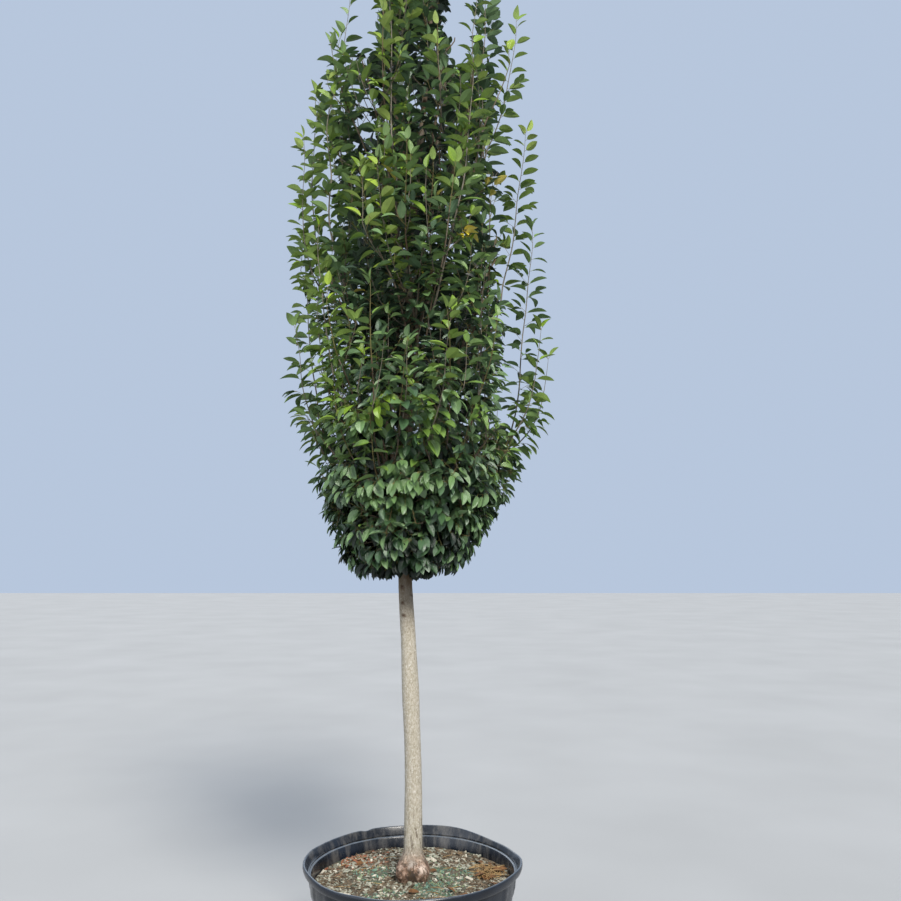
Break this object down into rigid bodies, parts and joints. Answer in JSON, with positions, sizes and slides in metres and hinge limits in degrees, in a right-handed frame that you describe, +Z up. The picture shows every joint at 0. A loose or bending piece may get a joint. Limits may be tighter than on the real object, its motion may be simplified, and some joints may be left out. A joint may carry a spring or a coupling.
{
  "type": "potted columnar hornbeam tree",
  "caption": "Columnar hornbeam on a clear upright trunk, with steep boughs and a narrow egg-shaped leafy crown, in a round black nursery pot.",
  "frame": {"origin": "middle of the pot's flat underside, which stands on the ground", "axes": "+Z up along the trunk, -Y towards whoever looks at the front of the tree, +X to their right"},
  "size_m": [1.0886, 1.094, 4.7715],
  "materials": {
    "pot": "satin black polyethylene, dusty",
    "potting_mix": "loose bark chips",
    "bark": "smooth grey bark with fine relief",
    "foliage": "matt to satin green leaves"
  },
  "bodies": {
    "root": {"pot": "pot", "potting_mix": "potting_mix", "trunk": "bark", "bough_low_1": "bark", "bough_low_2": "bark", "bough_low_3": "bark", "bough_low_4": "bark", "bough_low_5": "bark", "bough_mid_1": "bark", "bough_mid_2": "bark", "bough_mid_3": "bark", "bough_mid_4": "bark", "bough_mid_5": "bark", "bough_high_1": "bark", "bough_high_2": "bark", "bough_high_3": "bark", "bough_high_4": "bark", "bough_high_5": "bark", "bough_upper_1": "bark", "bough_upper_2": "bark", "bough_upper_3": "bark", "bough_upper_4": "bark", "foliage_low_1": "foliage", "foliage_low_2": "foliage", "foliage_low_3": "foliage", "foliage_low_4": "foliage", "foliage_low_5": "foliage", "foliage_mid_1": "foliage", "foliage_mid_2": "foliage", "foliage_mid_3": "foliage", "foliage_mid_4": "foliage", "foliage_mid_5": "foliage", "foliage_high_1": "foliage", "foliage_high_2": "foliage", "foliage_high_3": "foliage", "foliage_high_4": "foliage", "foliage_high_5": "foliage", "foliage_upper_1": "foliage", "foliage_upper_2": "foliage", "foliage_upper_3": "foliage", "foliage_upper_4": "foliage", "foliage_top": "foliage"}
  },
  "joints": []
}
